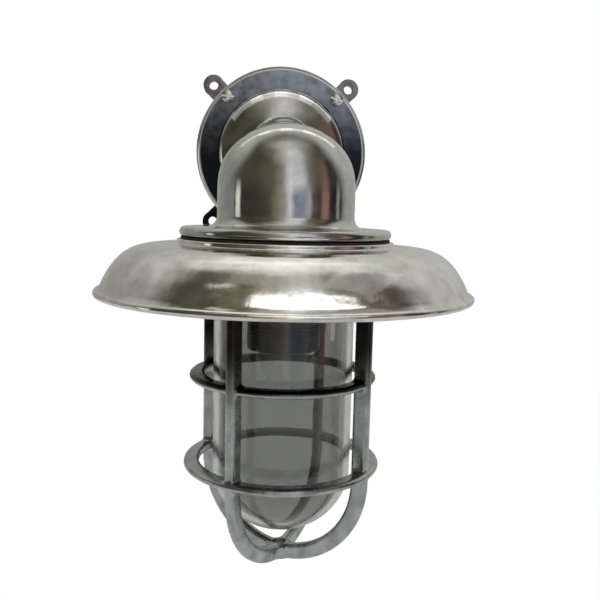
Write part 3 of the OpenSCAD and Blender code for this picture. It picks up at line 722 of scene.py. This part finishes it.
melt = guard.modifiers.new("melt", "REMESH")
melt.mode = "VOXEL"
melt.voxel_size = mould_grain
melt.use_smooth_shade = True
rub = guard.modifiers.new("rub", "SMOOTH")
rub.factor = 0.5
rub.iterations = 5
settle(guard)
bm = bmesh.new()
bmesh.ops.create_cone(bm, cap_ends=True, segments=48, radius1=drain_r, radius2=drain_r, depth=drill_length,
                      matrix=Matrix.Translation((0, lamp_y, guard_end)))
cut(guard, piece_from(bm, "drain_drill"))

# Cast aluminium, tumbled to a satin: grey and blotchy, with the mould's grain drawn coarse so that it shows,
# and painted shade that darkens it under the lamp's shade, upward faces first.
guard_metal = worked("tumbled_cast_aluminium", ("#8c8e8f", "#c1c3c4"), (0.18, 0.34), guard_patch,
                     [(10 * MM, 0.10 * MM), (1.5 * MM, 0.03 * MM)])
add_painted_shade(guard_metal, "#2e2e2b", guard_lit_z, guard_dark_z, guard_patch)
dress(guard, "guard", "guard_casting", guard_metal, "guard")


# Stage: a plain pale floor below the light and a white studio all round. The camera stands where the
# photograph was taken from, a little left of the arm and just below it.

camera_place = Vector((-24, -678.5, -45.7)) * MM
camera_yaw = math.radians(3.83)
camera_pitch = math.radians(7.11)
camera_roll = math.radians(1.35)
camera_lens = 44.31
camera_sensor = 36
camera_nearest = 0.01
floor_z = -1.2
floor_size = 8
floor_patch = 0.4
floor_glow = 1.03
floor_glow_share = 0.93
white = (1, 1, 1, 1)

ahead = Vector((math.sin(camera_yaw) * math.cos(camera_pitch), math.cos(camera_yaw) * math.cos(camera_pitch),
                -math.sin(camera_pitch)))
level_right = Vector((math.cos(camera_yaw), -math.sin(camera_yaw), 0))
level_up = level_right.cross(ahead)
right = level_right * math.cos(camera_roll) + level_up * math.sin(camera_roll)
up = level_up * math.cos(camera_roll) - level_right * math.sin(camera_roll)
camera = bpy.data.objects.new("camera", bpy.data.cameras.new("camera"))
camera.data.lens = camera_lens
camera.data.sensor_width = camera_sensor
camera.data.clip_start = camera_nearest
camera.matrix_world = Matrix.Translation(camera_place) @ Matrix((right, up, -ahead)).transposed().to_4x4()
bpy.context.collection.objects.link(camera)
bpy.context.scene.camera = camera

bm = bmesh.new()
bmesh.ops.create_grid(bm, x_segments=1, y_segments=1, size=floor_size / 2,
                      matrix=Matrix.Translation((0, 0, floor_z)))
floor = piece_from(bm, "floor")

# Pale painted floor: matt, and white to the camera but for the light's soft shadow.
floor_paint = worked("pale_floor", ("#e6e6e4", "#ededeb"), 0.8, floor_patch, [], metallic=0, detail=3)
tree = floor_paint.node_tree
path = add(tree, "LightPath").outputs
seen = add(tree, "Math", {0: path["Is Camera Ray"], 1: path["Is Transmission Ray"]}, operation="MAXIMUM")
share = add(tree, "Math", {0: seen, 1: floor_glow_share}, operation="MULTIPLY")
glow = add(tree, "Emission", {"Color": white, "Strength": floor_glow})
add(tree, "MixShader", {0: share, 1: tree.nodes["Principled BSDF"], 2: glow},
    tree.nodes["Material Output"].inputs["Surface"])
floor.data.materials.append(floor_paint)

# Studio: a bright back, and a dim room in front that polished metal mirrors. Everything else gets plain soft
# light from all round, and the camera sees white.
soft_light = 0.75
mirror_light = 1.35
backdrop_light = 1.0
back_starts = 0.13
back_whole = 0.56
back_lift = 0.8
side_reach = 0.6


def degrees(reach, *stops):
    """Stops of a ramp over an angle that runs as far both ways, from degrees."""
    return [((angle + reach) / (2 * reach), colour) for angle, colour in stops]


# The room by azimuth, from the left at -90 to the right at 90. At eye level it has a light strip at the far
# left, a pale opening ahead with a blue-grey stretch beside it, a red-brown one at the right and a thin
# strip beyond it.
eye_level = degrees(
    180, (-98, "#868683"), (-95, "#33322a"), (-91, "#f8f7ee"), (-86, "#f8f7ee"), (-82, "#33322a"),
    (-30, "#45443a"), (-18, "#7d796a"), (-4, "#a8a49a"), (3, "#e0e0e2"), (12, "#7d8496"), (27, "#868ca0"),
    (36, "#b4b4b8"), (40, "#5d534d"), (54, "#4b3d38"), (60, "#94766f"), (68, "#9a706a"), (74, "#3a2f2c"),
    (86, "#17170f"), (92, "#a9a9a0"), (97, "#1c1c16"), (108, "#8f8f8c"))
wall = degrees(
    180, (-92, "#4e4c40"), (-60, "#454335"), (-25, "#5d5a4c"), (-8, "#96938a"), (4, "#e2e2e4"),
    (25, "#cfd0d5"), (36, "#7a746c"), (50, "#5a4f49"), (66, "#7a5f5a"), (76, "#3a332f"), (96, "#4a4843"))
upper_wall = degrees(
    180, (-100, "#4b4a3c"), (-60, "#454335"), (-35, "#57543f"), (-12, "#a5a297"), (6, "#d0d0d0"),
    (22, "#c2c1c0"), (40, "#7d776c"), (60, "#5a5148"), (95, "#4a4540"))
ceiling = degrees(
    180, (-90, "#5b5a4a"), (-40, "#98968a"), (-15, "#a3a299"), (0, "#aeada7"), (20, "#a9a7a0"),
    (45, "#8c897f"), (90, "#68635a"))
overhead = degrees(180, (-90, "#77756a"), (90, "#7b776c"))

# The back by altitude, at its left and its right.
back_left = degrees(
    90, (-60, "#6f6f6c"), (-5, "#8e8e8b"), (20, "#8f8f8a"), (40, "#b2b2ae"), (60, "#b8b7b0"), (80, "#cfccc0"))
back_right = degrees(
    90, (-60, "#7d7d7a"), (-5, "#9d9d9a"), (20, "#b4b4b1"), (40, "#bcbcb8"), (60, "#c0bfb8"), (80, "#cfccc0"))

world = bpy.data.worlds.new("studio")
world.use_nodes = True
bpy.context.scene.world = world
tree = world.node_tree
way = add(tree, "SeparateXYZ", {"Vector": add(tree, "TexCoord").outputs["Generated"]}).outputs
front = add(tree, "Math", {0: way["Y"], 1: -1}, operation="MULTIPLY")
around = add(tree, "Math", {0: way["X"], 1: front}, operation="ARCTAN2")
azimuth = add(tree, "MapRange", {"Value": around, "From Min": -math.pi, "From Max": math.pi})
height = add(tree, "Math", {0: way["Z"]}, operation="ARCSINE")
altitude = add(tree, "MapRange", {"Value": height, "From Min": -upright, "From Max": upright})

# Each level of the room fades into the next one between two altitudes.
room = add(tree, "ValToRGB", {"Fac": azimuth}, stops=eye_level)
for stops, start, end in ((wall, 1, 14), (upper_wall, 25, 42), (ceiling, 55, 70), (overhead, 76, 90)):
    level = add(tree, "ValToRGB", {"Fac": azimuth}, stops=stops)
    share = add(tree, "MapRange", {"Value": height, "From Min": math.radians(start),
                                   "From Max": math.radians(end)}, interpolation_type="SMOOTHSTEP")
    room = add(tree, "MixRGB", {"Fac": share, "Color1": room, "Color2": level})

# The back reaches further forward at both sides, the higher the more.
aside = add(tree, "Math", {0: way["X"], 1: way["X"]}, operation="MULTIPLY")
shoulder = add(tree, "Math", {0: aside, 1: way["Z"]}, operation="MULTIPLY")
reach = add(tree, "Math", {0: shoulder, 1: back_lift, 2: way["Y"]}, operation="MULTIPLY_ADD")
behind = add(tree, "MapRange", {"Value": reach, "From Min": back_starts, "From Max": back_whole},
             interpolation_type="SMOOTHSTEP")
side = add(tree, "MapRange", {"Value": way["X"], "From Min": -side_reach, "From Max": side_reach})
left_half = add(tree, "ValToRGB", {"Fac": altitude}, stops=back_left)
right_half = add(tree, "ValToRGB", {"Fac": altitude}, stops=back_right)
back = add(tree, "MixRGB", {"Fac": side, "Color1": left_half, "Color2": right_half})
mirrored = add(tree, "MixRGB", {"Fac": behind, "Color1": room, "Color2": back})

plain = add(tree, "Background", {"Color": white, "Strength": soft_light})
studio = add(tree, "Background", {"Color": mirrored, "Strength": mirror_light})
backdrop = add(tree, "Background", {"Color": white, "Strength": backdrop_light})
path = add(tree, "LightPath").outputs
glossy = add(tree, "MixShader", {0: path["Is Glossy Ray"], 1: plain, 2: studio})
seen = add(tree, "Math", {0: path["Is Camera Ray"], 1: path["Is Transmission Ray"]}, operation="MAXIMUM")
add(tree, "MixShader", {0: seen, 1: glossy, 2: backdrop}, tree.nodes["World Output"].inputs["Surface"])


def softbox(name, piece, target, toward, size, brightness, spread=180, along=(1, 0, 0), distance=2):
    """Soft lamp that lights one piece only. It faces the target from a direction, with its first side along
    another one, and its light fans out by its spread in degrees."""
    light = bpy.data.lights.new(name, "AREA")
    light.shape = "RECTANGLE"
    light.spread = math.radians(spread)
    light.size, light.size_y = size
    light.energy = math.pi * size[0] * size[1] * brightness
    box = bpy.data.objects.new(name, light)
    toward = Vector(toward).normalized()
    across = toward.cross(along).normalized()
    facing = Matrix((across.cross(toward), across, toward)).transposed().to_4x4()
    box.matrix_world = Matrix.Translation(Vector(target) + distance * toward) @ facing
    box.visible_camera = False
    bpy.context.collection.objects.link(box)
    box.light_linking.receiver_collection = bpy.data.collections.new(name)
    box.light_linking.receiver_collection.objects.link(piece)


# A wide window over the camera, a small one beside it and two panels light the shade. The hood has a panel
# overhead, and the glass a window at its right.
crown = (0, lamp_y, shade_top)
globe_end = (0, lamp_y, globe_low[2])
softbox("window", shade, crown, (0.18, -0.73, 0.64), (2.2, 0.42), 1.6)
softbox("small_window", shade, crown, (-0.51, -0.39, 0.77), (0.4, 0.3), 0.6)
softbox("overhead_panel", shade, crown, (0, 0.24, 1), (4, 3), 0.12, spread=64)
softbox("hood_panel", arm, crown, (0, -0.3, 1), (4, 4), 0.045, spread=80)
softbox("side_panel", shade, crown, (0.55, -0.14, 0.82), (1.4, 1.0), 0.15, spread=150, along=(0, 1, 0))
softbox("side_window", globe, globe_end, (1, 0, 0.25), (0.9, 1.5), 2, along=(0, 1, 0))

# Small lamps close over the collar give the arm a bright edge there, brighter towards the right, and a dim
# fill.
collar_foot = (0, cover_front, 0)
collar_lamp_w = 0.11
collar_lamp_distance = 0.17
for number, turn in enumerate(steps(math.radians(-36), math.radians(36), count=3)):
    along = (math.cos(turn), 0, -math.sin(turn))
    for name, lean, depth, brightness in (("edge", 0.1, 0.01, 0.5 + 0.3 * number), ("fill", 0.2, 0.04, 0.4)):
        softbox(f"collar_{name}_{number}", arm, collar_foot, (math.sin(turn), -lean, math.cos(turn)),
                (collar_lamp_w, depth), brightness, along=along, distance=collar_lamp_distance)

bpy.context.scene.view_settings.view_transform = "Standard"
